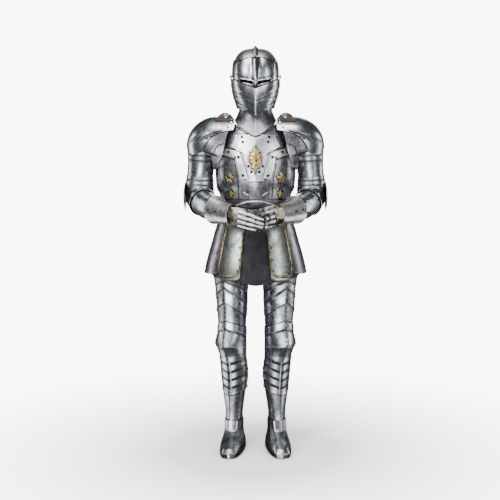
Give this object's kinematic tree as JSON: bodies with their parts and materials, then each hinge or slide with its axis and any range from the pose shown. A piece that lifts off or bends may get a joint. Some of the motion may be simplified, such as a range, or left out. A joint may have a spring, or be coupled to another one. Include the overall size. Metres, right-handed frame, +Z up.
{
  "type": "suit of plate armour",
  "caption": "Suit of polished plate armour on a general figure: combed close helmet, gilt chest motifs, tassets, clasped gauntlets",
  "frame": {"origin": "middle of the bounding box on the ground plane, under the suit", "axes": "+Z up, the suit faces -Y, +X is the wearer's left"},
  "size_m": [0.6624, 0.4529, 1.8451],
  "materials": {
    "steel": "polished, lightly worn",
    "dark_steel": "darkened",
    "mail": "riveted rings",
    "gilt": "aged gilding",
    "leather": "waxed"
  },
  "bodies": {
    "suit": {"helmet_skull": "steel", "neck_guard": "steel", "breastplate": "steel", "backplate": "steel", "bib_plate": "steel", "gorget_collar": "steel", "fauld": "steel", "culet": "steel", "pivot_left": "steel", "pivot_right": "steel", "chest_band_left": "steel", "chest_band_right": "steel", "gorget_front": "dark_steel", "gorget_back": "dark_steel", "mail_skirt": "mail", "chest_ornament": "gilt", "tasset_front_left": "steel", "tasset_side_left": "steel", "pauldron_left": "steel", "rerebrace_left": "steel", "elbow_lames_left": "steel", "vambrace_left": "steel", "gauntlet_cuff_left": "steel", "gauntlet_left": "steel", "cuisse_lames_left": "steel", "cuisse_left": "steel", "poleyn_left": "steel", "greave_lames_left": "steel", "greave_left": "steel", "sabaton_left": "steel", "wing_lame_left": "dark_steel", "elbow_fin_left": "dark_steel", "fleur_upper_left": "gilt", "fleur_lower_left": "gilt", "pauldron_strap_left": "leather", "side_strap_left": "leather", "tasset_front_right": "steel", "tasset_side_right": "steel", "pauldron_right": "steel", "rerebrace_right": "steel", "elbow_lames_right": "steel", "vambrace_right": "steel", "gauntlet_cuff_right": "steel", "gauntlet_right": "steel", "cuisse_lames_right": "steel", "cuisse_right": "steel", "poleyn_right": "steel", "greave_lames_right": "steel", "greave_right": "steel", "sabaton_right": "steel", "wing_lame_right": "dark_steel", "elbow_fin_right": "dark_steel", "fleur_upper_right": "gilt", "fleur_lower_right": "gilt", "pauldron_strap_right": "leather", "side_strap_right": "leather"},
    "visor": {"visor": "steel"},
    "bevor": {"ventail": "steel", "bevor": "steel"}
  },
  "joints": [
    {"name": "visor_hinge", "type": "hinge", "parent": "suit", "child": "visor", "pos_m": [0, 0.0533, 1.7], "axis": [-1, 0, 0], "range_deg": [0, 40]},
    {"name": "bevor_hinge", "type": "hinge", "parent": "suit", "child": "bevor", "pos_m": [0, 0.0533, 1.7], "axis": [-1, 0, 0], "range_deg": [0, 30]}
  ]
}
